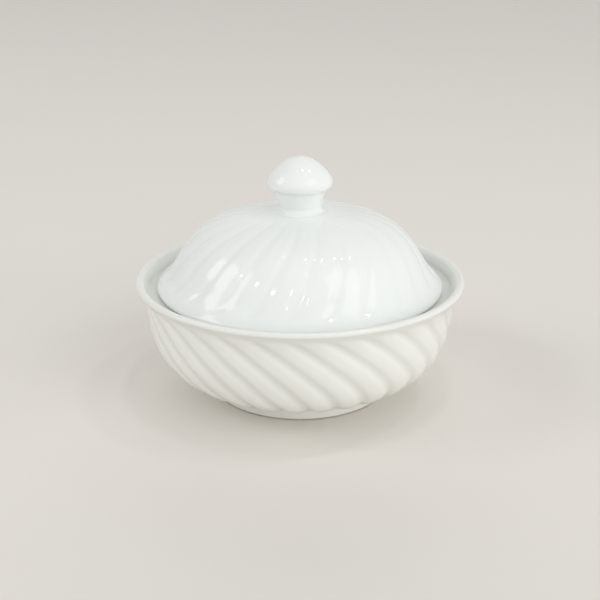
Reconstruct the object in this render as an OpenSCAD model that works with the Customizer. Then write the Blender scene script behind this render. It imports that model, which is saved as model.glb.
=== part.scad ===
// Covered bowl in white porcelain: a swirl-ribbed bowl on a foot ring, and a
// swirl-fluted lid with a knob, which drops onto a ledge inside the bowl's mouth.
// Millimetres, +Z up, origin on the table at the middle of the foot ring.

/* [Bowl] */
// Diameter over the lip
bowl_d = 160; // [150:1:180]
// Height of the lip above the table
bowl_h = 58.6; // [54:0.2:70]
// Thickness of the wall behind the valleys between the ribs
bowl_wall = 4.2; // [3:0.1:5]
// Thickness of the base over the recess
base_t = 5; // [4:0.1:7]
// Thickness of the rounded lip
lip_t = 2.7; // [2.2:0.1:4]
// Distance that the lip flares out past the wall
lip_flare = 5.1; // [4:0.1:7]
// Height of the flare, from the wall to the lip
flare_h = 16.1; // [13:0.1:20]
// Height of the plain band under the lip, above the ribs
lip_band = 3.4; // [3.4:0.1:6.5]
// Distance that the plain band widens on its way to the lip
band_flare = 1.25; // [1.1:0.05:3]

/* [Foot ring] */
// Diameter over the foot ring
foot_d = 87.4; // [76:0.2:96]
// Height of the foot ring
foot_h = 5.5; // [4.5:0.1:7]
// Width of the foot ring where it stands on the table
foot_w = 4.4; // [3:0.1:6]
// Depth of the recess inside the foot ring
recess_depth = 4; // [2:0.1:5]
// Radius of the foot ring's outer edge on the table
foot_edge = 0.8; // [0.4:0.1:1.2]

/* [Bowl ribs] */
// Number of ribs round the bowl
rib_count = 29; // [20:1:32]
// Depth of the valleys between the ribs
rib_depth = 1.5; // [0.8:0.1:3]
// Degrees that a rib turns from the foot to the plain band
rib_turn = 35.5; // [0:0.1:50]
// How late on its way up a rib turns: 1 is evenly, more is near the lip
rib_curl = 1.6; // [1:0.05:3]
// Degrees by which the ribs are turned about the axis
rib_start = 8.2; // [0:0.1:18]

/* [Lid] */
// Distance that the lid's edge lies inside the bowl's lip
lid_inset = 10.25; // [9:0.05:14]
// Height of the lid's crown above its seat
lid_rise = 37.9; // [32:0.1:46]
// Thickness of the lid's wall behind the valleys between the flutes
lid_wall = 4; // [3:0.1:5]
// Thickness of the lid's rounded edge
lid_edge_t = 3.5; // [2.8:0.1:4.2]
// Width of the flared brim below the flank
brim_w = 9; // [7.5:0.1:11]
// Height of the brim above the seat
brim_h = 13; // [11:0.1:16]
// Degrees that the flank slopes at where the brim begins
flank_slope = 60; // [52:1:66]

/* [Lid flutes] */
// Number of flutes round the lid
flute_count = 24; // [16:1:30]
// Depth of the valleys between the flutes
flute_depth = 0.5; // [0.4:0.1:2]
// Degrees that a flute turns from the crown to the brim
flute_turn = 19; // [0:0.5:40]
// How late on its way down a flute turns: 1 is evenly, more is near the brim
flute_curl = 3; // [1:0.1:4]
// Degrees by which the flutes are turned about the axis
flute_start = 7.6; // [0:0.1:22]

/* [Seat of the lid] */
// Depth of the ledge below the top of the lip
seat_depth = 6.2; // [5:0.1:8]
// Width of the ledge
seat_w = 6.7; // [4:0.1:7.5]
// Room round the lid's edge, on the ledge
edge_room = 3.75; // [1:0.05:4]
// Gap under the lid on the ledge, which the glaze takes up
rest_gap = 0.3; // [0.2:0.05:0.5]
// Clearance of the locating flange inside the mouth
flange_gap = 0.8; // [0.5:0.05:1.5]
// Height of the locating flange under the lid
flange_h = 5; // [3:0.1:7]
// Thickness of the locating flange
flange_t = 3; // [2.4:0.1:3.6]

/* [Knob] */
// Diameter of the knob's cap
knob_d = 31.4; // [28:0.1:38]
// Height of the knob's cap
cap_h = 15.4; // [12:0.1:22]
// Height of the cap's widest circle above its underside
cap_edge_h = 3.6; // [2.4:0.1:5]
// Height of the neck
neck_h = 8.4; // [6:0.1:12]
// Diameter of the neck where it stands on the lid
neck_d = 20.7; // [16:0.1:22]
// Distance that the neck widens towards the cap, on each side
neck_flare = 2; // [0.5:0.1:2.5]
// Height of the boss on the lid's crown that the neck stands on
boss_h = 2.4; // [1.2:0.1:3]
// Radius of the fillet round the boss
boss_fillet = 2.2; // [0.8:0.1:2.4]

/* [Hidden] */
$fn = 96;

warm_white = [0.90, 0.89, 0.85];
cool_white = [0.92, 0.93, 0.93];

// Facets across one rib or flute, and rows along it on each stretch of the outline
rib_facets = 8;
belly_rows = 12;
flare_rows = 5;
dome_rows = 10;
brim_rows = 4;
// Steps along a curve of a turned profile
curve_steps = 12;
// How rounded the valleys are: 0 is a sharp crease
valley_round = 0.9;
// How flat the crests are: 1 is a plain wave, more is broader
crest_flat = 1.8;
// How far one part of a piece reaches into the next
overlap = 1;
// How far a turned band stands back from the facets beside it
set_back = 0.1;
// How far a turned band reaches in past the last row of facets
tuck = 0.1;

// Degrees from upright at which the wall leans out: over the belly, where the ribs end, under the lip
belly_lean = 5;
band_lean = 33;
lip_lean = 40;
// Slope of the brim at the lid's edge, in degrees
edge_slope = 45;
// Handles of the curves, as shares of the stretch that each one spans
belly_out = 0.66;
belly_lift = 0.14;
belly_up = 0.555;
flare_handle = 0.36;
crown_out = 0.706;
dome_down = 0.796;
brim_handle = 0.45;
floor_handle = 0.33;
cap_under = 0.67;
cap_edge = 0.55;
cap_side = 0.2;
cap_tip = 0.53;
// Shares of a rib and of a flute over which it rises out of the plain surface at either end
rib_fade_low = 0.2;
rib_fade_high = 0.4;
flute_fade_in = 0.75;
flute_fade_out = 0.05;
// Share of the brim's curve that the flutes reach down to
brim_split = 0.85;
// Share of the belly's curve where the inside of the bowl turns into its floor
heel = 0.26;
// Stretch over which the inside of a wall turns upright
wall_blend = 2;

// Bowl: levels and radii
lip_r = bowl_d/2;
foot_r = foot_d/2;
seat_z = bowl_h - seat_depth;
floor_z = recess_depth + base_t;
belly_from = [foot_r + overlap/4, foot_h];
belly_to = [lip_r - lip_flare, bowl_h - flare_h];
band = [lip_r - band_flare, bowl_h - lip_band];
lip_centre = [lip_r - lip_t/2, bowl_h - lip_t/2];

// Lid: levels and radii, from the bowl's mouth
lid_r = lip_r - lid_inset;
seat_r = lid_r + edge_room;
mouth_r = seat_r - seat_w;
lid_z = seat_z + rest_gap;
crown = [0, lid_z + lid_rise];
flange_r = mouth_r - flange_gap;
edge_centre = [lid_r - lid_edge_t/2, lid_z + lid_edge_t/2];
flank = [lid_r - brim_w, lid_z + brim_h];

// Knob: levels and radii, from the lid's crown
boss_r = neck_d/2;
crown_r = boss_r + boss_fillet + overlap;
boss_z = crown[1] + boss_h;
cap_z = boss_z + neck_h;

// Directions in the plane of a profile: from level, and from upright
function aim(a) = [cos(a), sin(a)];
function lean(a) = aim(90 - a);
function right_of(d) = [d[1], -d[0]];
// Point and direction at t of a cubic curve with control points p, and points along it
function bez(p, t) = pow(1 - t, 3)*p[0] + 3*t*pow(1 - t, 2)*p[1] + 3*t*t*(1 - t)*p[2] + pow(t, 3)*p[3];
function bez_run(p, t) = pow(1 - t, 2)*(p[1] - p[0]) + 2*t*(1 - t)*(p[2] - p[1]) + t*t*(p[3] - p[2]);
function bez_dir(p, t) = bez_run(p, t)/norm(bez_run(p, t));
function curve(p, from = 0, to = 1) = [for (i = [0:curve_steps]) bez(p, from + (to - from)*i/curve_steps)];
// Curve from a to b that leaves along da and arrives along db, with handles of length h
function blend(a, da, b, db, h) = [a, a + h*da, b - h*db, b];
// Points of an arc round c, from angle a to angle b
function arc(c, r, a, b) = [for (i = [0:curve_steps]) c + r*aim(a + (b - a)*i/curve_steps)];
function ease(x) = let (t = min(max(x, 0), 1)) t*t*(3 - 2*t);
// The smaller of two lengths, rounded over a stretch k
function soft_min(a, b, k) = let (h = max(k - abs(a - b), 0)/k) min(a, b) - h*h*k/4;

// Radius at height z of the slope inside the mouth, from the ledge to the lip
lip_in = lip_centre + lip_t/2*aim(180 - lip_lean);
function slope_r(z) = seat_r + (lip_in[0] - seat_r)*(z - seat_z)/(lip_in[1] - seat_z);

// Bowl: outline over the crests, from the foot to the plain band
// t runs to 1 on the belly and to 2 on the flare
belly_span = belly_to - belly_from;
belly_line = [belly_from,
              belly_from + [belly_out*belly_span[0], belly_lift*belly_span[1]],
              belly_to - belly_up*belly_span[1]*lean(belly_lean),
              belly_to];
flare_line = blend(belly_to, lean(belly_lean), band, lean(band_lean), flare_handle*norm(band - belly_to));
function wall_at(t) = t < 1 ? bez(belly_line, t) : bez(flare_line, t - 1);
function wall_dir(t) = t < 1 ? bez_dir(belly_line, t) : bez_dir(flare_line, t - 1);
function wall_out(t) = right_of(wall_dir(t));

// Lid: outline over the crests, from the crown to the edge
// t runs to 1 on the dome and to 2 on the brim
brim_end = edge_centre + lid_edge_t/2*aim(90 - edge_slope);
dome_line = [crown,
             crown + [crown_out*flank[0], 0],
             flank - dome_down*(crown[1] - flank[1])*aim(-flank_slope),
             flank];
brim_line = blend(flank, aim(-flank_slope), brim_end, aim(-edge_slope), brim_handle*norm(brim_end - flank));
function lid_at(t) = t < 1 ? bez(dome_line, t) : bez(brim_line, t - 1);
function lid_dir(t) = t < 1 ? bez_dir(dome_line, t) : bez_dir(brim_line, t - 1);
function lid_out(t) = -right_of(lid_dir(t));
// t at which the dome has radius r
function dome_t(r, low = 0, high = 1, tries = 30) =
    let (mid = (low + high)/2)
    tries == 0 ? mid
    : lid_at(mid)[0] < r ? dome_t(r, mid, high, tries - 1)
    : dome_t(r, low, mid, tries - 1);
crown_t = dome_t(crown_r);
brim_t = 1 + brim_split;

// Size of c, rounded off near 0
function rounded(c) = norm([c, valley_round]) - valley_round;
// Height across one rib, from 0 in a valley to 1 on the crest, at u of its width
function rib_form(u) = 1 - pow(1 - rounded(cos(180*u))/rounded(1), crest_flat);

// One row of a swirled skin: crest point, outward normal, valley depth and turn about the axis
function rib_row(t) =
    let (p = wall_at(t), up = (p[1] - foot_h)/(band[1] - foot_h))
    [p,
     wall_out(t),
     rib_depth*ease(t/rib_fade_low)*ease((2 - t)/rib_fade_high),
     rib_start - rib_turn*pow(up, rib_curl)];
function flute_row(t) =
    let (p = lid_at(t), out = max(p[0] - crown_r, 0)/(lid_at(brim_t)[0] - crown_r))
    [p,
     lid_out(t),
     flute_depth*ease(out/flute_fade_in)*ease((1 - out)/flute_fade_out),
     flute_start - flute_turn*pow(out, flute_curl)];

// Solid with the given rows of skin, lowest first, with count ribs round it and flat ends
module swirled_solid(rows, count) {
    columns = count*rib_facets;
    last = len(rows) - 1;
    points = [
        for (row = rows, j = [0:columns - 1])
            let (p = row[0] - row[1]*row[2]*(1 - rib_form(j/rib_facets)), a = row[3] + 360*j/columns)
            [p[0]*cos(a), p[0]*sin(a), p[1]]
    ];
    skin = [
        for (i = [0:last - 1], j = [0:columns - 1])
            let (k = (j + 1)%columns, low = i*columns, high = low + columns)
            each [[low + j, high + j, high + k], [low + j, high + k, low + k]]
    ];
    bottom = [for (j = [0:columns - 1]) j];
    top = [for (j = [columns - 1:-1:0]) last*columns + j];
    polyhedron(points, concat(skin, [bottom, top]));
}

module turned(outline) {
    rotate_extrude()
        polygon(outline);
}

module bowl_foot() {
    turned(concat([[0, foot_h + overlap], [0, 0]],
                  arc([foot_r - foot_edge, foot_edge], foot_edge, -90, 0),
                  [[foot_r, foot_h + overlap]]));
}

// Plain band, rounded lip, the slope down to the ledge, and the plug of clay under the ledge
module bowl_rim() {
    round_from = -lip_lean;
    lip_low = lip_centre + lip_t/2*aim(round_from);
    start = band - [set_back, 0] - tuck*lean(band_lean);
    band_line = blend(start, lean(band_lean), lip_low, lean(lip_lean), flare_handle*norm(lip_low - start));
    plug_z = seat_z - 2*overlap;
    plug_top = [slope_r(start[1]) + overlap, start[1]];
    turned(concat([[0, plug_z], [slope_r(plug_z) + overlap, plug_z], plug_top],
                  curve(band_line),
                  arc(lip_centre, lip_t/2, round_from, 180 - lip_lean),
                  [[seat_r, seat_z], [0, seat_z]]));
}

// Opening in the ribbed wall that the plug fills up to the ledge
module bowl_mouth() {
    low_z = seat_z - overlap;
    translate([0, 0, low_z])
        cylinder(r1 = slope_r(low_z) + overlap/2, r2 = slope_r(bowl_h) + overlap/2, h = bowl_h - low_z);
}

// Space inside the bowl up to the ledge
module bowl_inside() {
    behind = bowl_wall + rib_depth;
    side = [
        for (i = [0:curve_steps])
            let (t = heel + (1 - heel)*i/curve_steps)
            wall_at(t) - behind*wall_out(t)
    ];
    floor_line = blend([0, floor_z], [1, 0], side[0], wall_dir(heel), floor_handle*side[0][0]);
    turned(concat(curve(floor_line),
                  [for (p = side) if (p != side[0]) [soft_min(p[0], mouth_r, wall_blend), p[1]]],
                  [[mouth_r, seat_z], [mouth_r, seat_z + overlap], [0, seat_z + overlap]]));
}

module bowl_recess() {
    recess_r = foot_r - foot_w;
    turned([[0, -overlap],
            [recess_r, -overlap],
            [recess_r, 0],
            [recess_r - overlap, recess_depth],
            [0, recess_depth]]);
}

module bowl() {
    belly = [for (i = [0:belly_rows - 1]) i/belly_rows];
    flare = [for (i = [0:flare_rows]) 1 + i/flare_rows];
    color(warm_white)
        difference() {
            union() {
                difference() {
                    swirled_solid([for (t = concat(belly, flare)) rib_row(t)], rib_count);
                    bowl_mouth();
                }
                bowl_foot();
                bowl_rim();
            }
            bowl_inside();
            bowl_recess();
        }
}

// Brim with its rounded edge, the ring that rests on the ledge, and the flange inside the mouth
module lid_brim() {
    foot_z = lid_z - flange_h;
    corner = flange_t/3;
    low_brim = [for (p = curve(brim_line, 1, brim_split)) p - [set_back, 0]];
    top = low_brim[curve_steps] - tuck*lid_dir(brim_t);
    turned(concat([[0, top[1]], [0, foot_z]],
                  arc([flange_r - corner, foot_z + corner], corner, -90, 0),
                  [[flange_r, lid_z]],
                  arc(edge_centre, lid_edge_t/2, -90, 90 - edge_slope),
                  low_brim,
                  [top]));
}

// Boss on the crown that the knob stands on
module lid_boss() {
    land_z = lid_at(crown_t)[1] - set_back;
    fillet_centre = [boss_r + boss_fillet, land_z + boss_fillet];
    turned(concat([[0, boss_z], [0, land_z - overlap], [fillet_centre[0], land_z - overlap]],
                  arc(fillet_centre, boss_fillet, -90, -180),
                  [[boss_r, boss_z]]));
}

// Hollow under the lid, down through the flange
module lid_inside() {
    behind = lid_wall + flute_depth;
    flange_in = flange_r - flange_t;
    skin = [for (i = [1:2*curve_steps]) let (t = i/curve_steps) lid_at(t) - behind*lid_out(t)];
    foot_z = lid_z - flange_h - overlap;
    turned(concat([[0, foot_z], crown - [0, behind]],
                  [for (p = skin) [soft_min(p[0], flange_in, wall_blend), p[1]]],
                  [[flange_in, foot_z]]));
}

module lid() {
    brim = [for (i = [0:brim_rows - 1]) brim_t - brim_split*i/brim_rows];
    dome = [for (i = [0:dome_rows]) 1 - (1 - crown_t)*i/dome_rows];
    color(cool_white)
        difference() {
            union() {
                swirled_solid([for (t = concat(brim, dome)) flute_row(t)], flute_count);
                lid_brim();
                lid_boss();
            }
            lid_inside();
        }
}

// Neck that widens upwards, and a cap with a rounded edge and a blunt point
module knob() {
    neck_top = [boss_r + neck_flare, cap_z];
    widest = [knob_d/2, cap_z + cap_edge_h];
    tip = [0, cap_z + cap_h];
    edge_line = [neck_top,
                 neck_top + [cap_under*(widest[0] - neck_top[0]), 0],
                 widest - [0, cap_edge*cap_edge_h],
                 widest];
    cap_line = [widest,
                widest + [0, cap_side*(tip[1] - widest[1])],
                tip + [cap_tip*widest[0], 0],
                tip];
    color(cool_white)
        turned(concat([[0, boss_z], [boss_r, boss_z]], curve(edge_line), curve(cap_line)));
}

bowl();
lid();
knob();
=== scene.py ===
"""Looks of a covered porcelain bowl: swirl-ribbed bowl, swirl-fluted lid and knob, on a pale floor.

Lengths are in millimetres and angles in degrees until a mesh is made, which is in metres.
A profile lies in a plane through the axis, and its points are a radius and a height.
"""

import logging
import math
from dataclasses import dataclass, field
from enum import Enum, IntEnum
from typing import Iterable, Sequence

import bpy
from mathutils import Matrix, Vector

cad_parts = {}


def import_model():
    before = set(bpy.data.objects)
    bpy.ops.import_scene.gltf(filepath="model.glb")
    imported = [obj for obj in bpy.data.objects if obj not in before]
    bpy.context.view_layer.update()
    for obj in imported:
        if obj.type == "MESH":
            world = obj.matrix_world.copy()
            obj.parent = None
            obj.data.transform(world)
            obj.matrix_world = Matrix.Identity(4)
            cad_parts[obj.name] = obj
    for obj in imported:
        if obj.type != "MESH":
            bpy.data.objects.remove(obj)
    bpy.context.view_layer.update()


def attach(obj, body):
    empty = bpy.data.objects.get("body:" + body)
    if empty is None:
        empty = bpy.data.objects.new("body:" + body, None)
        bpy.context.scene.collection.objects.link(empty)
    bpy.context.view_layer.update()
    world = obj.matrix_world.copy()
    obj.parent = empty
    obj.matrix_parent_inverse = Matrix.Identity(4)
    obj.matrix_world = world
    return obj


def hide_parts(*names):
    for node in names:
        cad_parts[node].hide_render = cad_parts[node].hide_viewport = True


LOG = logging.getLogger("covered_bowl")
MM = 0.001
# Radius below which a ring is a single point on the axis
POLE_R = 1e-6
# How close to a sharp corner of a profile the shading stays flat
CORNER = 0.05
# Inset of a valley at which the glaze takes its darker colour fully: glaze that runs together there, and
# painted shade
POOL_AND_SHADE_DEPTH = 1.0
# Times that a search along a curve halves its range
HALVINGS = 40
# Sockets of a Mix node set to colours, by number because several share a name
MIX_SHARE, MIX_FIRST, MIX_SECOND, MIX_RESULT = 0, 6, 7, 2

Point = tuple[float, float]
Place = tuple[float, float, float]
Colour = tuple[float, float, float]


class Zone(IntEnum):
    """Which finish a face of a porcelain piece carries."""

    GLAZED = 0
    BARE = 1


class LampShape(Enum):
    """Shape of a lamp's face."""

    PANEL = "RECTANGLE"
    ROUND = "DISK"


def linear(red: float, green: float, blue: float) -> Colour:
    """Colour in linear light, by the usual display curve.

    Args:
        red: Red as displayed, from 0 to 255.
        green: Green, likewise.
        blue: Blue, likewise.

    Returns:
        The three values, from 0 to 1.
    """
    return tuple(
        value / 12.92 if value <= 0.04045 else ((value + 0.055) / 1.055) ** 2.4
        for value in (red / 255, green / 255, blue / 255)
    )


def opaque(colour: Colour) -> tuple[float, float, float, float]:
    """Colour as a colour socket takes it."""
    return (*colour, 1.0)


def heading(angle: float) -> Point:
    """Direction in a profile's plane, by its angle from level."""
    return math.cos(math.radians(angle)), math.sin(math.radians(angle))


def bearing(start: Point, end: Point) -> Point:
    """Direction from one point to another."""
    length = math.dist(start, end)
    return (end[0] - start[0]) / length, (end[1] - start[1]) / length


def right_of(direction: Point) -> Point:
    """Direction at a right angle to another, on its right."""
    return direction[1], -direction[0]


def left_of(direction: Point) -> Point:
    """Direction at a right angle to another, on its left."""
    return -direction[1], direction[0]


def shifted(point: Point, direction: Point, distance: float) -> Point:
    """Point moved along a direction."""
    return point[0] + distance * direction[0], point[1] + distance * direction[1]


def ease(x: float) -> float:
    """Smooth step from 0 to 1."""
    t = min(max(x, 0.0), 1.0)
    return t * t * (3 - 2 * t)


def soft_min(a: float, b: float, stretch: float) -> float:
    """The smaller of two lengths, rounded over a stretch."""
    blend = max(stretch - abs(a - b), 0.0) / stretch
    return min(a, b) - blend * blend * stretch / 4


def straight(start: Point, end: Point, steps: int) -> list[Point]:
    """Points of a straight line, both ends included."""
    run = (end[0] - start[0], end[1] - start[1])
    return [shifted(start, run, i / steps) for i in range(steps + 1)]


def arc(centre: Point, radius: float, start: float, end: float, steps: int) -> list[Point]:
    """Points of an arc.

    Args:
        centre: Middle of the arc.
        radius: Its radius.
        start: Angle of its first point.
        end: Angle of its last point.
        steps: Number of stretches between its points.

    Returns:
        The points in order, both ends included.
    """
    return [shifted(centre, heading(start + (end - start) * i / steps), radius) for i in range(steps + 1)]


@dataclass(frozen=True)
class Curve:
    """Cubic curve in a profile's plane.

    Attributes:
        start: First point.
        start_handle: Handle of the first point.
        end_handle: Handle of the last point.
        end: Last point.
    """

    start: Point
    start_handle: Point
    end_handle: Point
    end: Point

    @classmethod
    def between(cls, start: Point, leaving: Point, end: Point, arriving: Point, handle: float) -> "Curve":
        """Curve between two points along two directions.

        Args:
            start: First point.
            leaving: Direction at the first point.
            end: Last point.
            arriving: Direction at the last point.
            handle: Length of both handles, as a share of the distance between the points.

        Returns:
            The curve.
        """
        length = handle * math.dist(start, end)
        return cls(start, shifted(start, leaving, length), shifted(end, arriving, -length), end)

    def at(self, share: float) -> Point:
        """Point on the curve.

        Args:
            share: Share of the way along it.

        Returns:
            Radius and height of the point.
        """
        rest = 1 - share
        weights = (rest ** 3, 3 * share * rest ** 2, 3 * share ** 2 * rest, share ** 3)
        corners = (self.start, self.start_handle, self.end_handle, self.end)
        return tuple(sum(w * corner[axis] for w, corner in zip(weights, corners)) for axis in (0, 1))

    def along(self, share: float) -> Point:
        """Direction of the curve.

        Args:
            share: Share of the way along it.

        Returns:
            The direction, of length 1.
        """
        rest = 1 - share
        weights = (rest ** 2, 2 * share * rest, share ** 2)
        corners = (self.start, self.start_handle, self.end_handle, self.end)
        legs = list(zip(weights, corners, corners[1:]))
        return bearing((0.0, 0.0), tuple(sum(w * (q[axis] - p[axis]) for w, p, q in legs) for axis in (0, 1)))

    def points(self, steps: int, start: float = 0.0) -> list[Point]:
        """Points along the curve, from a share of the way to its end."""
        return [self.at(start + (1 - start) * i / steps) for i in range(steps + 1)]

    def share_at(self, radius: float) -> float:
        """Where a curve that runs outwards has a radius.

        Args:
            radius: The radius to find.

        Returns:
            Share of the way along the curve.
        """
        low, high = 0.0, 1.0
        for _ in range(HALVINGS):
            middle = (low + high) / 2
            low, high = (middle, high) if self.at(middle)[0] < radius else (low, middle)
        return low


@dataclass(frozen=True)
class Row:
    """One ring of a piece's skin.

    Attributes:
        at: Radius and height of the ring, over the crests.
        out: Outward normal, in the profile's plane.
        depth: Depth of the valleys below the crests.
        turn: Degrees by which the ring is turned about the axis.
        pool: Share of the darker glaze colour all round the ring, from 0 to 1: painted shade on the ledge
            slope, under the lip and on the knob's neck, and a plain darkening on the foot ring and round the
            boss.
        zone: Finish of the faces between this ring and the next.
    """

    at: Point
    out: Point = (1.0, 0.0)
    depth: float = 0.0
    turn: float = 0.0
    pool: float = 0.0
    zone: Zone = Zone.GLAZED


@dataclass(frozen=True)
class Swirl:
    """Ribs that run along a wall and turn about the axis on their way.

    Attributes:
        count: Number of ribs.
        depth: Depth of the valleys between them.
        turn: Degrees that a rib turns from one end to the other.
        curl: How late on its way it turns: 1 is evenly.
        start: Degrees by which the ribs are turned about the axis.
        fade_in: Share of the way over which a rib rises out of the plain surface.
        fade_out: Share of the way over which it sinks back.
        crest_flat: How flat the crests are: 1 is a plain wave, more is broader.
        facets: Faces across one rib.
        valley_round: How rounded the valleys are: 0 is a sharp crease.
    """

    count: int
    depth: float
    turn: float
    curl: float
    start: float
    fade_in: float
    fade_out: float
    crest_flat: float
    facets: int
    valley_round: float = 0.9

    def turned(self, share: float) -> float:
        """Turn of the ribs at a share of their way."""
        return self.start - self.turn * max(share, 0.0) ** self.curl

    def depth_at(self, share: float) -> float:
        """Depth of the valleys at a share of the ribs' way."""
        return self.depth * ease(share / self.fade_in) * ease((1 - share) / self.fade_out)

    def height(self, across: float) -> float:
        """Height across one rib.

        Args:
            across: Place across the ribs, where each whole number is a crest.

        Returns:
            Height from 0 in a valley to 1 on a crest.
        """
        crease = self.valley_round
        wave = math.hypot(math.cos(math.pi * across), crease) - crease
        return 1 - (1 - wave / (math.hypot(1.0, crease) - crease)) ** self.crest_flat

    def heights(self) -> list[float]:
        """Height across the ribs at each point of a ring."""
        return [self.height(column / self.facets) for column in range(self.count * self.facets)]


def plain_rows(
    points: Iterable[Point], turn: float, pool: float = 0.0, zone: Zone = Zone.GLAZED,
) -> list[Row]:
    """Rows with no ribs through the points of a profile.

    Args:
        points: Radius and height of each ring.
        turn: Degrees by which the rings are turned.
        pool: Share of the darker glaze colour there: painted shade in some places, a plain darkening in
            others.
        zone: Finish of the faces that start at these rings.

    Returns:
        One row for each point.
    """
    return [Row(point, turn=turn, pool=pool, zone=zone) for point in points]


def linked(made: bpy.types.Object) -> bpy.types.Object:
    """Object, now in the scene."""
    bpy.context.scene.collection.objects.link(made)
    return made


def skin(name: str, rows: Sequence[Row], heights: Sequence[float]) -> bpy.types.Object:
    """Closed skin through rings of points, with a point on the axis at either end.

    Args:
        name: Name of the piece.
        rows: Rings in order, with the porcelain on their left.
        heights: Height across the ribs at each point of a ring, from 0 in a valley to 1 on a crest.

    Returns:
        The piece, linked to the scene, with the share of its darker glaze colour in a point attribute: glaze
        that runs together in the valleys, and painted shade.
    """
    columns = len(heights)
    vertices: list[Place] = []
    pool_and_shade_values: list[float] = []
    rings: list[list[int]] = []
    for row in rows:
        first = len(vertices)
        pole = row.at[0] < POLE_R
        for column in range(1 if pole else columns):
            inset = row.depth * (1 - heights[column])
            radius, level = shifted(row.at, row.out, -inset)
            angle = math.radians(row.turn + 360 * column / columns)
            vertices.append((radius * math.cos(angle) * MM, radius * math.sin(angle) * MM, level * MM))
            # Darker by the inset in the valleys, for glaze that runs together there and as painted shade in
            # them; never lighter than the row's own share
            pool_and_shade_values.append(max(row.pool, min(inset / POOL_AND_SHADE_DEPTH, 1.0)))
        rings.append([first] * columns if pole else list(range(first, first + columns)))
    faces: list[tuple[int, ...]] = []
    zones: list[int] = []
    for row, low, high in zip(rows, rings, rings[1:]):
        for column in range(columns):
            after = (column + 1) % columns
            corners = (low[column], low[after], high[after], high[column])
            faces.append(tuple(dict.fromkeys(corners)))
            zones.append(int(row.zone))
    mesh = bpy.data.meshes.new(name)
    mesh.from_pydata(vertices, [], faces)
    mesh.polygons.foreach_set("material_index", zones)
    mesh.polygons.foreach_set("use_smooth", [True] * len(faces))
    mesh.attributes.new("pool", "FLOAT", "POINT").data.foreach_set("value", pool_and_shade_values)
    mesh.update()
    return linked(bpy.data.objects.new(name, mesh))


class NodeBench:
    """Adds nodes to a node tree and joins them."""

    def __init__(self, tree: bpy.types.NodeTree) -> None:
        """Start with an empty tree."""
        self.tree = tree
        self.tree.nodes.clear()

    def add(self, kind: str, values: dict[str, object] | None = None, **settings: object) -> bpy.types.Node:
        """Add a node.

        Args:
            kind: Blender's name for the node.
            values: Values or source sockets for its inputs, by input name.
            **settings: The node's own settings.

        Returns:
            The new node.
        """
        node = self.tree.nodes.new(kind)
        for name, value in settings.items():
            setattr(node, name, value)
        for name, value in (values or {}).items():
            self.feed(node.inputs[name], value)
        return node

    def feed(self, socket: bpy.types.NodeSocket, value: object) -> None:
        """Give an input a source or a value.

        Args:
            socket: The input.
            value: Source socket to join to it, or fixed value to set.
        """
        if isinstance(value, bpy.types.NodeSocket):
            self.tree.links.new(value, socket)
        else:
            socket.default_value = value

    def place(self) -> bpy.types.NodeSocket:
        """Socket with the place on the object, in metres."""
        return self.add("ShaderNodeTexCoord").outputs["Object"]

    def noise(self, place: bpy.types.NodeSocket, size: float, detail: float) -> bpy.types.NodeSocket:
        """Noise with features of a size.

        Args:
            place: Socket with the place on the object.
            size: Size of its features, in millimetres.
            detail: How much finer noise is in it.

        Returns:
            Socket with values about 0.5.
        """
        values = {"Vector": place, "Scale": 1 / (size * MM), "Detail": detail, "Roughness": 0.5}
        return self.add("ShaderNodeTexNoise", values).outputs["Fac"]

    def math(self, operation: str, first: object, second: object) -> bpy.types.NodeSocket:
        """Sum, product or other operation on two values.

        Args:
            operation: Blender's name for the operation.
            first: Its first value or socket.
            second: Its second value or socket.

        Returns:
            Socket with the result.
        """
        node = self.add("ShaderNodeMath", operation=operation)
        self.feed(node.inputs[0], first)
        self.feed(node.inputs[1], second)
        return node.outputs[0]

    def ramp(self, value: object, read: Point, result: Point) -> bpy.types.NodeSocket:
        """Value carried smoothly from one range to another, and held at its ends.

        Args:
            value: Socket to read.
            read: Lower and upper end of the range that it is read in.
            result: Results at those two ends.

        Returns:
            Socket with the result.
        """
        values = {
            "Value": value, "From Min": read[0], "From Max": read[1],
            "To Min": result[0], "To Max": result[1],
        }
        return self.add("ShaderNodeMapRange", values, interpolation_type="SMOOTHSTEP").outputs["Result"]

    def mix(self, share: object, first: object, second: object) -> bpy.types.NodeSocket:
        """Mix of two colours.

        Args:
            share: Share of the second colour.
            first: First colour, or its socket.
            second: Second colour, or its socket.

        Returns:
            Socket with the mixed colour.
        """
        node = self.add("ShaderNodeMix", data_type="RGBA")
        for number, value in ((MIX_SHARE, share), (MIX_FIRST, first), (MIX_SECOND, second)):
            self.feed(node.inputs[number], opaque(value) if isinstance(value, tuple) else value)
        return node.outputs[MIX_RESULT]

    def bump(self, height: bpy.types.NodeSocket, strength: float, distance: float) -> bpy.types.NodeSocket:
        """Normal of a surface with small heights on it.

        Args:
            height: Socket with the height.
            strength: How strongly it shows.
            distance: Length of a height of 1, in millimetres.

        Returns:
            Socket with the normal.
        """
        values = {"Height": height, "Strength": strength, "Distance": distance * MM}
        return self.add("ShaderNodeBump", values).outputs["Normal"]

    def surface(self, values: dict[str, object]) -> None:
        """End a material in a Principled shader with these values or source sockets."""
        shader = self.add("ShaderNodeBsdfPrincipled", values)
        self.add("ShaderNodeOutputMaterial", {"Surface": shader.outputs["BSDF"]})


def blank_material(name: str) -> tuple[bpy.types.Material, NodeBench]:
    """New material with no nodes.

    Args:
        name: Name of the material.

    Returns:
        The material, and the bench for its nodes.
    """
    made = bpy.data.materials.new(name)
    made.use_nodes = True
    return made, NodeBench(made.node_tree)


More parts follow.
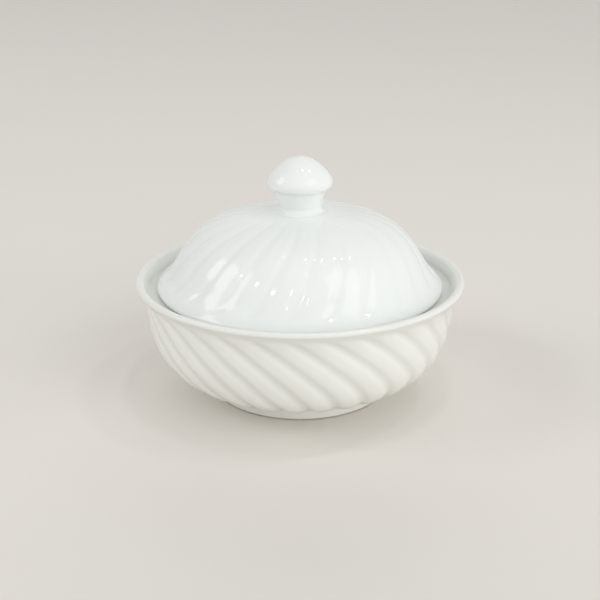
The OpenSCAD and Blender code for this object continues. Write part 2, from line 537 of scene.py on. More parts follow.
@dataclass(frozen=True)
class FiredGlaze:
    """Node group for the surface of fired glaze: a darker colour in valleys and as painted shade, clouds,
    pinholes and a slightly uneven skin.

    Attributes:
        name: Name of the group.
        pool_and_shade_range: Share at which the darker colour, of glaze that runs together and of painted
            shade, begins to show, and at which it is all there is.
        cloud_size: Size of the clouds in its colour.
        gloss_size: Size of the patches of less gloss.
        gloss_change: Roughness that these patches add.
        wave_size: Size of its slow waves.
        peel_size: Size of its fine unevenness.
        hole_spacing: Distance between the places where a pinhole may be.
        hole_picked: Share of those places that stay whole.
        hole_range: Distances at which a pinhole is full and has ended, as shares of the spacing.
        hole_colour: Colour inside a pinhole.
        hole_depth: Depth of a pinhole.
    """

    name: str = "fired_glaze"
    pool_and_shade_range: Point = (0.25, 1.0)
    cloud_size: float = 26.0
    gloss_size: float = 5.0
    gloss_change: float = 0.05
    wave_size: float = 13.0
    peel_size: float = 1.6
    hole_spacing: float = 7.0
    hole_picked: float = 0.8
    hole_range: Point = (0.025, 0.05)
    hole_colour: Colour = linear(176, 170, 158)
    hole_depth: float = 0.05

    def group(self) -> bpy.types.NodeTree:
        """The group, built once.

        Returns:
            Node group with Color, Roughness and Height, in millimetres, as outputs.
        """
        if self.name in bpy.data.node_groups:
            return bpy.data.node_groups[self.name]
        made = bpy.data.node_groups.new(self.name, "ShaderNodeTree")
        self.add_sockets(made)
        bench = NodeBench(made)
        given = bench.add("NodeGroupInput").outputs
        place = bench.place()
        hole = bench.math("MULTIPLY", self.holes(bench, place), given["Pinholes"])
        # Darker colour, for glaze that runs together and for painted shade, by its share
        pool_and_shade_mix = bench.ramp(given["Thickness"], self.pool_and_shade_range, (0.0, 1.0))
        pooled_and_shaded = bench.mix(pool_and_shade_mix, given["Body"], given["PoolAndShade"])
        cloud = bench.math("SUBTRACT", bench.noise(place, self.cloud_size, detail=3.0), 0.5)
        value = bench.math("ADD", bench.math("MULTIPLY", cloud, given["Clouds"]), 1.0)
        clouded = bench.add("ShaderNodeHueSaturation", {"Color": pooled_and_shaded, "Value": value}).outputs["Color"]
        dulled = bench.math("MULTIPLY", bench.noise(place, self.gloss_size, detail=2.0), self.gloss_change)
        wave = bench.math("MULTIPLY", bench.noise(place, self.wave_size, detail=1.0), given["Waviness"])
        peel = bench.math("MULTIPLY", bench.noise(place, self.peel_size, detail=1.0), given["Peel"])
        dent = bench.math("MULTIPLY", hole, -self.hole_depth)
        bench.add("NodeGroupOutput", {
            "Color": bench.mix(hole, clouded, self.hole_colour),
            "Roughness": bench.math("ADD", given["Gloss"], dulled),
            "Height": bench.math("ADD", bench.math("ADD", wave, peel), dent),
        })
        return made

    def add_sockets(self, made: bpy.types.NodeTree) -> None:
        """Give the group its inputs and outputs.

        Args:
            made: The group.
        """
        inputs = {"Body": "NodeSocketColor", "PoolAndShade": "NodeSocketColor"}
        for label in ("Thickness", "Clouds", "Pinholes", "Gloss", "Waviness", "Peel"):
            inputs[label] = "NodeSocketFloat"
        outputs = {"Color": "NodeSocketColor", "Roughness": "NodeSocketFloat", "Height": "NodeSocketFloat"}
        for way, sockets in (("INPUT", inputs), ("OUTPUT", outputs)):
            for label, kind in sockets.items():
                made.interface.new_socket(label, in_out=way, socket_type=kind)

    def holes(self, bench: NodeBench, place: bpy.types.NodeSocket) -> bpy.types.NodeSocket:
        """Pinholes, one in the middle of some cells.

        Args:
            bench: Bench of the group.
            place: Socket with the place on the object.

        Returns:
            Mask of the pinholes.
        """
        values = {"Vector": place, "Scale": 1 / (self.hole_spacing * MM), "Randomness": 1.0}
        cells = bench.add("ShaderNodeTexVoronoi", values).outputs
        drawn = bench.add("ShaderNodeSeparateColor", {"Color": cells["Color"]}).outputs["Red"]
        picked = bench.math("GREATER_THAN", drawn, self.hole_picked)
        return bench.math("MULTIPLY", bench.ramp(cells["Distance"], self.hole_range, (1.0, 0.0)), picked)


@dataclass(frozen=True)
class GlazeFinish:
    """Glossy white glaze over porcelain.

    Attributes:
        name: Name of the material.
        body: Colour of the glaze over a crest.
        pool: Darker colour of the glaze where it runs together in the valleys, also used as painted shade.
        gloss: Roughness of the glaze: less is glossier.
        clouds: How much lighter and darker it is from place to place.
        pinholes: How plainly its pinholes show.
        waviness: Height of its slow waves.
        peel: Height of its fine unevenness.
        ior: How strongly it bends light.
    """

    name: str
    body: Colour
    pool: Colour
    gloss: float
    clouds: float = 0.05
    pinholes: float = 0.25
    waviness: float = 0.12
    peel: float = 0.004
    ior: float = 1.5

    def material(self) -> bpy.types.Material:
        """Material with this finish.

        Returns:
            The material, which reads the share of its darker colour, for glaze that runs together and for
            painted shade, from a point attribute.
        """
        made, bench = blank_material(self.name)
        pool_and_shade_share = bench.add("ShaderNodeAttribute", attribute_name="pool").outputs["Fac"]
        given = {
            "Body": opaque(self.body), "PoolAndShade": opaque(self.pool), "Thickness": pool_and_shade_share,
            "Clouds": self.clouds, "Pinholes": self.pinholes, "Gloss": self.gloss,
            "Waviness": self.waviness, "Peel": self.peel,
        }
        fired = bench.add("ShaderNodeGroup", given, node_tree=FiredGlaze().group()).outputs
        bench.surface({
            "Base Color": fired["Color"], "Roughness": fired["Roughness"],
            "Normal": bench.bump(fired["Height"], strength=1.0, distance=1.0), "IOR": self.ior,
        })
        return made


@dataclass(frozen=True)
class BareClayAndContactShade:
    """Fired clay where the glaze is wiped off, darkened as painted shade of the line where the foot ring
    meets the floor.

    Attributes:
        name: Name of the material.
        body: Colour of the clean clay, made darker as painted shade along the contact line.
        stain: Colour of its stains.
        stain_size: Size of the stains.
        stain_range: Values of the stains' noise at which they begin and are full.
        stain_most: How much of its colour a full stain shows.
        grain_size: Size of its grain.
        grain_depth: Depth of its grain.
        grain_strength: How strongly the grain shows.
        grain_range: Values of the grain's noise at which the clay is smoothest and roughest.
        rough: Roughness there.
    """

    name: str = "bare_clay_and_contact_shade"
    # Darker than the clay alone: painted shade along the line where the foot ring meets the floor
    body: Colour = linear(188, 181, 166)
    stain: Colour = linear(158, 148, 131)
    stain_size: float = 9.0
    stain_range: Point = (0.45, 0.7)
    stain_most: float = 0.8
    grain_size: float = 0.6
    grain_depth: float = 0.1
    grain_strength: float = 0.6
    grain_range: Point = (0.3, 0.7)
    rough: Point = (0.7, 0.9)

    def material(self) -> bpy.types.Material:
        """Material with this finish.

        Returns:
            The material.
        """
        made, bench = blank_material(self.name)
        place = bench.place()
        grain = bench.noise(place, self.grain_size, detail=3.0)
        patches = bench.noise(place, self.stain_size, detail=3.0)
        stained = bench.ramp(patches, self.stain_range, (0.0, self.stain_most))
        bench.surface({
            "Base Color": bench.mix(stained, self.body, self.stain),
            "Roughness": bench.ramp(grain, self.grain_range, self.rough),
            "Normal": bench.bump(grain, self.grain_strength, self.grain_depth),
        })
        return made


@dataclass
class Bowl:
    """Swirl-ribbed bowl on a foot ring, with a ledge for the lid inside its mouth.

    Attributes:
        height: Height of the lip above the floor.
        lip_r: Radius over the lip.
        lip_t: Thickness of the rounded lip.
        lip_inner: Radius of the rounding on the lip's inner side.
        lip_from: Angle on the rounded lip at which the plain band ends.
        lip_to: Angle on the inner rounding at which the slope begins.
        wall: Thickness of the wall behind the valleys.
        wall_start: How far outside the foot ring's side the wall's outline starts.
        belly_top: Radius and height at which the belly ends and the flare begins.
        belly_lean: Angle of the wall there.
        belly_low: Handle of the belly at the foot, as shares of its width and rise.
        belly_high: Handle of the belly at its top, as a share of its rise.
        band: Radius and height at which the ribs end and the plain band begins.
        band_lean: Angle of the wall there.
        flare_handle: Handles of the flare and the band, as a share of their reach.
        foot_r: Radius over the foot ring.
        foot_h: Height of the foot ring.
        foot_w: Width of the foot ring.
        foot_edge: Radius of its outer edge on the floor.
        foot_fillet: Radius between the foot ring and the wall.
        foot_bevel: Width and height of the bevel on its inner edge.
        recess_depth: Depth of the recess inside the foot ring.
        recess_fillet: Radius round the recess's ceiling.
        recess_draft: How far the recess narrows, at the bevel and at the fillet.
        recess_lean: Angle on the fillet at which the recess's side begins.
        recess_ring: Radius of a ring that divides the recess's ceiling.
        floor_z: Height of the bowl's inside at the axis.
        heel: Share of the belly's outline up to which the inside is floor.
        seat_z: Height of the ledge.
        seat_r: Radius of the ledge's outer corner.
        seat_fillet: How far out and up from that corner its fillet begins.
        seat_run: How far in from that corner its fillet ends.
        seat_handle: Handles of that fillet, as a share of its reach.
        mouth_r: Radius of the mouth inside the ledge.
        mouth_edge: Radius of the ledge's inner edge.
        mouth_blend: Stretch over which the mouth runs into the wall.
        band_painted_shade: Painted shade on the plain band under the lip, as a share of the darker glaze
            colour.
        ledge_painted_shade: Painted shade at the ledge, as a share of the darker glaze colour, reached step
            by step down the slope inside the lip.
        foot_darkening: How much darker the glaze is on the foot ring, as a share of its darker colour.
        belly_rings: Rings along the belly.
        flare_rings: Rings along the flare.
        slope_rings: Rings along the slope inside the lip.
        inside_rings: Rings along the inside of the wall, and again along the floor.
        ribs: Ribs of the wall.
        glaze: Finish of the bowl.
    """

    height: float = 58.6
    lip_r: float = 79.85
    lip_t: float = 2.7
    lip_inner: float = 3.0
    lip_from: float = -40
    lip_to: float = 150
    wall: float = 4.2
    wall_start: float = 0.25
    belly_top: Point = (74.9, 42.5)
    belly_lean: float = 85
    belly_low: Point = (0.66, 0.14)
    belly_high: float = 0.555
    band: Point = (78.75, 55.2)
    band_lean: float = 57
    flare_handle: float = 0.36
    foot_r: float = 43.7
    foot_h: float = 5.5
    foot_w: float = 4.4
    foot_edge: float = 0.8
    foot_fillet: float = 1.0
    foot_bevel: Point = (0.5, 0.4)
    recess_depth: float = 4.0
    recess_fillet: float = 1.4
    recess_draft: Point = (0.2, 1.0)
    recess_lean: float = 14
    recess_ring: float = 20.0
    floor_z: float = 9.0
    heel: float = 0.26
    seat_z: float = 52.4
    seat_r: float = 73.5
    seat_fillet: Point = (0.6, 0.85)
    seat_run: float = 1.2
    seat_handle: float = 0.35
    mouth_r: float = 66.8
    mouth_edge: float = 0.7
    mouth_blend: float = 2.0
    band_painted_shade: float = 0.8
    ledge_painted_shade: float = 0.6
    foot_darkening: float = 0.5
    belly_rings: int = 56
    flare_rings: int = 24
    slope_rings: int = 8
    inside_rings: int = 24
    ribs: Swirl = Swirl(
        count=29, depth=0.95, turn=35.5, curl=1.6, start=8.2,
        fade_in=0.1, fade_out=0.2, crest_flat=1.5, facets=16)
    # The second colour is the darker one: glaze that runs together in the valleys, and painted shade.
    glaze: GlazeFinish = GlazeFinish("warm_glaze", linear(239, 241, 236), linear(229, 231, 225), 0.16)

    def belly(self) -> Curve:
        """Outline of the wall over the crests, from the foot to the flare.

        Returns:
            The outline, upwards.
        """
        start = (self.foot_r + self.wall_start, self.foot_h)
        width, rise = self.belly_top[0] - start[0], self.belly_top[1] - start[1]
        low = (start[0] + self.belly_low[0] * width, start[1] + self.belly_low[1] * rise)
        high = shifted(self.belly_top, heading(self.belly_lean), -self.belly_high * rise)
        return Curve(start, low, high, self.belly_top)

    def flare(self) -> Curve:
        """Outline of the wall over the crests, from the belly to the plain band."""
        leaving, arriving = heading(self.belly_lean), heading(self.band_lean)
        return Curve.between(self.belly_top, leaving, self.band, arriving, self.flare_handle)

    def lip_centre(self) -> Point:
        """Middle of the rounded lip."""
        return self.lip_r - self.lip_t / 2, self.height - self.lip_t / 2

    def recess_points(self) -> list[Point]:
        """Profile of the recess, from the axis to the bevel on the foot ring.

        Returns:
            The points in order.
        """
        inner = self.foot_r - self.foot_w
        at_bevel, at_fillet = self.recess_draft
        ceiling_r = inner - at_fillet - self.recess_fillet
        ceiling = [(0.0, self.recess_depth), (self.recess_ring, self.recess_depth)]
        centre = (ceiling_r, self.recess_depth - self.recess_fillet)
        fillet = arc(centre, self.recess_fillet, 90, self.recess_lean, steps=6)
        return ceiling + fillet + [(inner - at_bevel, self.foot_bevel[1])]

    def standing_points(self) -> list[Point]:
        """Profile of the face that the bowl stands on, from its bevel round its outer edge.

        Returns:
            The points in order.
        """
        inner = self.foot_r - self.foot_w - self.recess_draft[0] + self.foot_bevel[0]
        centre = (self.foot_r - self.foot_edge, self.foot_edge)
        return [(inner, 0.0)] + arc(centre, self.foot_edge, -90, 0, steps=6)[:-1]

    def foot_points(self) -> list[Point]:
        """Profile of the foot ring's outside, from its rounded edge to the wall.

        Returns:
            The points in order, the last ones on a fillet that meets the wall smoothly.
        """
        wall = self.belly()
        across, up = wall.along(0)
        run = (self.foot_fillet * (1 - up) - (wall.start[0] - self.foot_r)) / across
        centre = (self.foot_r + self.foot_fillet, wall.start[1] + run * up - self.foot_fillet * across)
        rise = math.degrees(math.atan2(up, across))
        return [(self.foot_r, self.foot_edge)] + arc(centre, self.foot_fillet, 180, 90 + rise, steps=6)

    def rib_rows(self) -> list[Row]:
        """Rows of the ribbed wall, darker as the ribs fade: painted shade under the lip, a plain darkening by
        the foot.

        Returns:
            The rows, from the foot to the plain band.
        """
        belly_shares = [i / self.belly_rings for i in range(1, self.belly_rings)]
        flare_shares = [i / self.flare_rings for i in range(self.flare_rings + 1)]
        stretches = (
            (self.belly(), belly_shares, 0.0, self.foot_darkening),
            (self.flare(), flare_shares, 0.5, self.band_painted_shade),
        )
        rows = []
        for line, shares, done, faded_pool_and_shade in stretches:
            for share in shares:
                point = line.at(share)
                turn = self.ribs.turned((point[1] - self.foot_h) / (self.band[1] - self.foot_h))
                depth = self.ribs.depth_at(done + share / 2)
                # Darker where the ribs fade: painted shade towards the band under the lip, a plain darkening
                # towards the foot
                pool = (1 - depth / self.ribs.depth) * faded_pool_and_shade
                rows.append(Row(point, right_of(line.along(share)), depth, turn, pool))
        return rows

    def band_points(self) -> list[Point]:
        """Profile of the plain band under the lip.

        Returns:
            The points in order.
        """
        end = shifted(self.lip_centre(), heading(self.lip_from), self.lip_t / 2)
        leaving, arriving = heading(self.band_lean), heading(self.lip_from + 90)
        return Curve.between(self.band, leaving, end, arriving, self.flare_handle).points(steps=8)[1:]

    def lip_points(self) -> list[Point]:
        """Profile of the rounded lip, from the plain band to the slope inside it.

        Returns:
            The points in order.
        """
        outer = self.lip_centre()
        inner = (outer[0], self.height - self.lip_inner)
        rounded = arc(outer, self.lip_t / 2, self.lip_from, 90, steps=16)[1:]
        return rounded + arc(inner, self.lip_inner, 90, self.lip_to, steps=10)[1:]

    def slope_rows(self, turn: float) -> list[Row]:
        """Rows of the slope inside the lip, with painted shade that darkens towards the ledge.

        Args:
            turn: Degrees by which the rings are turned.

        Returns:
            The rows, from the lip down to the ledge.
        """
        start = self.lip_points()[-1]
        end = (self.seat_r + self.seat_fillet[0], self.seat_z + self.seat_fillet[1])
        slope = straight(start, end, self.slope_rings)
        # Painted shade, darker step by step down the slope towards the ledge
        step = self.ledge_painted_shade / self.slope_rings
        rows = [Row(point, turn=turn, pool=step * i) for i, point in enumerate(slope)][1:]
        ledge = (self.seat_r - self.seat_run, self.seat_z)
        fillet = Curve.between(end, bearing(start, end), ledge, heading(180), self.seat_handle)
        return rows + plain_rows(fillet.points(steps=5)[1:], turn, self.ledge_painted_shade)

    def inside_points(self) -> list[Point]:
        """Profile of the ledge's inner edge, the inside of the wall and the floor.

        Returns:
            The points in order, down to the axis.
        """
        line = self.belly()
        behind = self.wall + self.ribs.depth
        side = []
        for i in range(self.inside_rings + 1):
            share = self.heel + (1 - self.heel) * i / self.inside_rings
            side.append(shifted(line.at(share), right_of(line.along(share)), -behind))
        reach = side[0][0] / 3
        rising = shifted(side[0], line.along(self.heel), -reach)
        floor = Curve((0.0, self.floor_z), (reach, self.floor_z), rising, side[0])
        walls = [(soft_min(radius, self.mouth_r, self.mouth_blend), level) for radius, level in side]
        centre = (self.mouth_r + self.mouth_edge, self.seat_z - self.mouth_edge)
        edge = arc(centre, self.mouth_edge, 90, 180, steps=6)
        return edge + walls[:0:-1] + floor.points(self.inside_rings)[::-1]

    def build(self) -> bpy.types.Object:
        """Mesh of the bowl, from the middle of its recess round to the middle of its floor.

        Returns:
            The piece.
        """
        low, high = self.ribs.turned(0), self.ribs.turned(1)
        rows = plain_rows(self.recess_points(), low)
        # Bare clay on the standing face and round its outer edge, darkened as painted shade along the line
        # where the foot meets the floor
        rows += plain_rows(self.standing_points(), low, zone=Zone.BARE)
        # The glaze a little darker on the foot ring
        rows += plain_rows(self.foot_points(), low, self.foot_darkening)
        rows += self.rib_rows()
        # Painted shade on the plain band under the lip
        rows += plain_rows(self.band_points(), high, self.band_painted_shade)
        rows += plain_rows(self.lip_points(), high)
        rows += self.slope_rows(high)
        rows += plain_rows(self.inside_points(), high)
        return skin("bowl_skin", rows, self.ribs.heights())

    def dress(self, piece: bpy.types.Object, clay: bpy.types.Material) -> None:
        """Glaze the bowl, and leave its standing face bare.

        Args:
            piece: The bowl's mesh.
            clay: Finish of the bare face.
        """
        piece.data.materials.append(self.glaze.material())
        piece.data.materials.append(clay)
        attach(piece, "bowl")
        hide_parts("bowl")


@dataclass
class Lid:
    """Swirl-fluted lid with a flared brim, and a flange that keeps it in the bowl's mouth.

    Attributes:
        seat_z: Height of the ring that rests on the bowl's ledge.
        crown_z: Height of the dome at the axis, under the boss.
        edge_r: Radius over the lid's edge.
        edge_t: Thickness of its rounded edge.
        edge_from: Angle on the rounded edge at which the brim ends.
        wall: Thickness of the wall behind the valleys.
        flank: Radius and height at which the dome ends and the brim begins.
        flank_slope: Angle of the wall there.
        dome_high: Handle of the dome at the crown, as a share of the flank's radius.
        dome_low: Handle of the dome at the flank, as a share of its drop.
        brim_handle: Handles of the brim, as a share of its reach.
        brim_split: Share of the brim's outline at which the flutes end.
        flange_r: Radius over the locating flange.
        flange_h: Height of the flange.
        flange_t: Thickness of the flange.
        flange_edge: Radius of its outer edge.
        flange_bevel: Width and height of the bevel on its inner edge.
        flange_fillet: Radius between the flange and the ring that rests on the ledge.
        flange_blend: Stretch over which the hollow runs into the flange.
        boss_r: Radius of the boss under the knob.
        boss_h: Height of the boss over the dome.
        boss_fillet: Radius round the boss.
        boss_land: Width of the plain ring round that fillet.
        boss_darkening: How much darker the glaze is round the boss, as a share of its darker colour.
        brim_rings: Rings along the brim.
        dome_rings: Rings along the dome.
        hollow_rings: Rings along the inside of the dome and of the brim.
        flutes: Flutes of the dome.
        glaze: Finish of the lid and the knob.
    """

    seat_z: float = 52.7
    crown_z: float = 90.6
    edge_r: float = 69.75
    edge_t: float = 3.5
    edge_from: float = 45
    wall: float = 4.0
    flank: Point = (60.75, 65.7)
    flank_slope: float = -60
    dome_high: float = 0.706
    dome_low: float = 0.796
    brim_handle: float = 0.45
    brim_split: float = 0.85
    flange_r: float = 66.0
    flange_h: float = 5.0
    flange_t: float = 3.0
    flange_edge: float = 1.0
    flange_bevel: Point = (0.5, 0.8)
    flange_fillet: float = 0.8
    flange_blend: float = 2.0
    boss_r: float = 10.35
    boss_h: float = 2.4
    boss_fillet: float = 2.2
    boss_land: float = 1.0
    boss_darkening: float = 0.3
    brim_rings: int = 34
    dome_rings: int = 80
    hollow_rings: tuple[int, int] = (40, 14)
    flutes: Swirl = Swirl(
        count=24, depth=0.45, turn=19, curl=3, start=5.2,
        fade_in=0.75, fade_out=0.05, crest_flat=2.6, facets=20)
    # The second colour is the darker one: glaze that runs together in the flutes, and painted shade on the
    # knob's neck.
    glaze: GlazeFinish = GlazeFinish("cool_glaze", linear(241, 245, 243), linear(236, 240, 238), 0.05)

    def edge_centre(self) -> Point:
        """Middle of the lid's rounded edge."""
        return self.edge_r - self.edge_t / 2, self.seat_z + self.edge_t / 2

    def crown_r(self) -> float:
        """Radius at which the flutes begin, clear of the boss's fillet."""
        return self.boss_r + self.boss_fillet + self.boss_land

    def dome(self) -> Curve:
        """Outline over the crests, from the crown to the flank.

        Returns:
            The outline, outwards.
        """
        drop = self.crown_z - self.flank[1]
        high = (self.dome_high * self.flank[0], self.crown_z)
        low = shifted(self.flank, heading(self.flank_slope), -self.dome_low * drop)
        return Curve((0.0, self.crown_z), high, low, self.flank)

    def brim(self) -> Curve:
        """Outline over the crests, from the flank to the rounded edge.

        Returns:
            The outline, outwards.
        """
        end = shifted(self.edge_centre(), heading(self.edge_from), self.edge_t / 2)
        leaving, arriving = heading(self.flank_slope), heading(self.edge_from - 90)
        return Curve.between(self.flank, leaving, end, arriving, self.brim_handle)

    def inside_points(self) -> list[Point]:
        """Profile of the hollow, from the axis down to the bevel on the flange.

        Returns:
            The points in order.
        """
        behind = self.wall + self.flutes.depth
        inner = self.flange_r - self.flange_t
        points = [(0.0, self.crown_z - behind)]
        for line, rings in zip((self.dome(), self.brim()), self.hollow_rings):
            for i in range(1, rings + 1):
                radius, level = shifted(line.at(i / rings), left_of(line.along(i / rings)), -behind)
                points.append((soft_min(radius, inner, self.flange_blend), level))
        return points + [(inner, self.seat_z - self.flange_h + self.flange_bevel[1])]

    def rim_points(self) -> list[Point]:
        """Profile from the flange's standing face up to the lid's rounded edge.

        Returns:
            The points in order.
        """
        corner, joint = self.flange_edge, self.flange_fillet
        foot = (self.flange_r - corner, self.seat_z - self.flange_h + corner)
        seat = (self.flange_r + joint, self.seat_z - joint)
        flange = arc(foot, corner, -90, 0, steps=6) + arc(seat, joint, 180, 90, steps=6)
        return flange + arc(self.edge_centre(), self.edge_t / 2, -90, self.edge_from, steps=16)[:-1]

    def flute_rows(self) -> list[Row]:
        """Rows of the fluted brim and dome.

        Returns:
            The rows, from the rounded edge up to the boss.
        """
        dome, brim = self.dome(), self.brim()
        inner, outer = self.crown_r(), brim.at(self.brim_split)[0]
        samples = [(brim, i / self.brim_rings) for i in range(self.brim_rings, 0, -1)]
        samples += [(dome, i / self.dome_rings) for i in range(self.dome_rings, 0, -1)]
        rows = []
        for line, along in samples:
            point = line.at(along)
            if point[0] <= inner:
                break
            share = min((point[0] - inner) / (outer - inner), 1.0)
            depth, turn = self.flutes.depth_at(share), self.flutes.turned(share)
            rows.append(Row(point, left_of(line.along(along)), depth, turn))
        return rows

    def boss_points(self) -> list[Point]:
        """Profile of the crown round the knob, up to the middle of the boss.

        Returns:
            The points in order.
        """
        dome = self.dome()
        land = dome.at(dome.share_at(self.crown_r()))
        centre = (self.boss_r + self.boss_fillet, land[1] + self.boss_fillet)
        fillet = arc(centre, self.boss_fillet, -90, -180, steps=10)
        top = self.crown_z + self.boss_h
        rim = [(self.boss_r, top - CORNER), (self.boss_r, top), (self.boss_r - CORNER, top)]
        return [land] + fillet + rim + [(0.0, top)]

    def build(self) -> bpy.types.Object:
        """Mesh of the lid, from the middle of its hollow round to the middle of its boss.

        Returns:
            The piece.
        """
        inner_turn, outer_turn = self.flutes.turned(0), self.flutes.turned(1)
        standing = (self.flange_r - self.flange_t + self.flange_bevel[0], self.seat_z - self.flange_h)
        rows = plain_rows(self.inside_points(), outer_turn)
        rows += plain_rows([standing], outer_turn, zone=Zone.BARE)
        rows += plain_rows(self.rim_points(), outer_turn)
        rows += self.flute_rows()
        # The glaze a little darker round the boss
        rows += plain_rows(self.boss_points(), inner_turn, self.boss_darkening)
        return skin("lid_skin", rows, self.flutes.heights())

    def dress(self, piece: bpy.types.Object, clay: bpy.types.Material) -> bpy.types.Material:
        """Glaze the lid, and leave its flange's standing face bare.

        Args:
            piece: The lid's mesh.
            clay: Finish of the bare face.

        Returns:
            The glaze, for the knob.
        """
        glaze = self.glaze.material()
        piece.data.materials.append(glaze)
        piece.data.materials.append(clay)
        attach(piece, "lid")
        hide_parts("lid")
        return glaze


@dataclass
class Knob:
    """Knob on the lid's crown: a neck that widens upwards and a cap with a blunt point.

    Attributes:
        base_z: Height of its seat on the boss.
        tip_z: Height of its tip.
        neck_r: Radius of the neck at its seat.
        neck_top: Radius and height of the corner where the neck would meet the cap's underside.
        neck_lean: Angle of the neck's side.
        neck_painted_shade: Painted shade on the neck under the cap, as a share of the darker glaze colour.
        widest: Radius and height of the cap's widest circle.
        under_handles: Handles of the cap's underside, as shares of its width and rise.
        cap_handles: Handles of the cap, as shares of its height and radius.
        fillet_drop: How far below that corner the fillet begins on the neck.
        fillet_end: Share of the cap's underside at which the fillet ends.
        fillet_handle: Handles of the fillet, as a share of its reach.
        columns: Points in a ring.
    """

    base_z: float = 93.0
    tip_z: float = 116.8
    neck_r: float = 10.35
    neck_top: Point = (12.35, 101.4)
    neck_lean: float = 76
    neck_painted_shade: float = 1.0
    widest: Point = (15.7, 105.0)
    under_handles: Point = (0.67, 0.45)
    cap_handles: Point = (0.2, 0.53)
    fillet_drop: float = 1.8
    fillet_end: float = 0.3
    fillet_handle: float = 0.4
    columns: int = 160

    def underside(self) -> Curve:
        """Outline of the cap's underside, from the neck to its widest circle.

        Returns:
            The outline, outwards.
        """
        (inner, low), (outer, high) = self.neck_top, self.widest
        start_handle = (inner + self.under_handles[0] * (outer - inner), low)
        end_handle = (outer, low + self.under_handles[1] * (high - low))
        return Curve(self.neck_top, start_handle, end_handle, self.widest)

    def cap(self) -> Curve:
        """Outline of the cap, from its widest circle to its tip.

        Returns:
            The outline, upwards.
        """
        outer, low = self.widest
        start_handle = (outer, low + self.cap_handles[0] * (self.tip_z - low))
        end_handle = (self.cap_handles[1] * outer, self.tip_z)
        return Curve(self.widest, start_handle, end_handle, (0.0, self.tip_z))

    def neck_points(self) -> list[Point]:
        """Profile of the neck and the fillet under the cap.

        Returns:
            The points in order, with one more beside the corner at the seat.
        """
        up = heading(self.neck_lean)
        under = self.underside()
        seat = (self.neck_r, self.base_z)
        shoulder = shifted(self.neck_top, up, -self.fillet_drop)
        end, arriving = under.at(self.fillet_end), under.along(self.fillet_end)
        fillet = Curve.between(shoulder, up, end, arriving, self.fillet_handle)
        side = [seat, shifted(seat, up, CORNER)] + straight(seat, shoulder, steps=8)[1:]
        return side + fillet.points(steps=8)[1:]

    def build(self) -> bpy.types.Object:
        """Mesh of the knob, from its seat on the boss to its tip.

        Returns:
            The piece.
        """
        rows = plain_rows([(0.0, self.base_z), (self.neck_r - CORNER, self.base_z)], 0.0)
        # Painted shade on the neck, under the cap
        rows += plain_rows(self.neck_points(), 0.0, self.neck_painted_shade)
        rows += plain_rows(self.underside().points(steps=14, start=self.fillet_end)[1:], 0.0)
        rows += plain_rows(self.cap().points(steps=40)[1:], 0.0)
        return skin("knob_skin", rows, [1.0] * self.columns)

    def dress(self, piece: bpy.types.Object, glaze: bpy.types.Material) -> None:
        """Glaze the knob as the lid.

        Args:
            piece: The knob's mesh.
            glaze: The lid's glaze.
        """
        piece.data.materials.append(glaze)
        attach(piece, "lid")
        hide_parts("knob")


def towards(azimuth: float, elevation: float) -> Vector:
    """Direction from the bowl to a place round it.

    Args:
        azimuth: Degrees from the front to the right.
        elevation: Degrees up from level.

    Returns:
        The direction, of length 1.
    """
    level, rise = heading(elevation)
    front, across = heading(azimuth)
    return Vector((level * across, -level * front, rise))


def aim(made: bpy.types.Object, place: Vector, target: Vector) -> None:
    """Put a lamp or camera in its place, and turn it to a target."""
    made.location = place
    made.rotation_euler = (target - place).to_track_quat("-Z", "Y").to_euler()


@dataclass(frozen=True)
class Lamp:
    """Lamp of the studio, aimed at the bowl.

    Attributes:
        name: Name of the lamp.
        azimuth: Where it stands, in degrees from the front to the right.
        elevation: Degrees that it stands above the bowl.
        distance: Metres from the bowl.
        size: Width and height of its face, in metres.
        brightness: How bright its face is, where 1 is white.
        shape: Shape of its face.
    """

    name: str
    azimuth: float
    elevation: float
    distance: float
    size: Point
    brightness: float
    shape: LampShape = LampShape.PANEL

    def area(self) -> float:
        """Area of its face, in square metres."""
        return self.size[0] * self.size[1] * (math.pi / 4 if self.shape is LampShape.ROUND else 1)

    def build(self, target: Vector) -> None:
        """Put the lamp in its place.

        Args:
            target: What it is aimed at.
        """
        data = bpy.data.lights.new(self.name, "AREA")
        data.shape = self.shape.value
        data.size, data.size_y = self.size
        data.energy = self.brightness * math.pi * self.area()
        lamp = linked(bpy.data.objects.new(self.name, data))
        aim(lamp, target + self.distance * towards(self.azimuth, self.elevation), target)


@dataclass(frozen=True)
class Sun:
    """Broad, even light from one side, which throws soft shadows and is not seen in the glaze.

    Attributes:
        name: Name of the light.
        azimuth: Where it comes from, in degrees from the front to the right.
        elevation: Degrees that it comes from above.
        strength: Watts per square metre.
        spread: Degrees over which it is spread.
    """

    name: str
    azimuth: float
    elevation: float
    strength: float
    spread: float = 60

    def build(self) -> None:
        """Let the light in from its side."""
        data = bpy.data.lights.new(self.name, "SUN")
        data.energy = self.strength
        data.angle = math.radians(self.spread)
        sun = linked(bpy.data.objects.new(self.name, data))
        sun.rotation_euler = towards(self.azimuth, self.elevation).to_track_quat("Z", "Y").to_euler()
        sun.visible_glossy = False


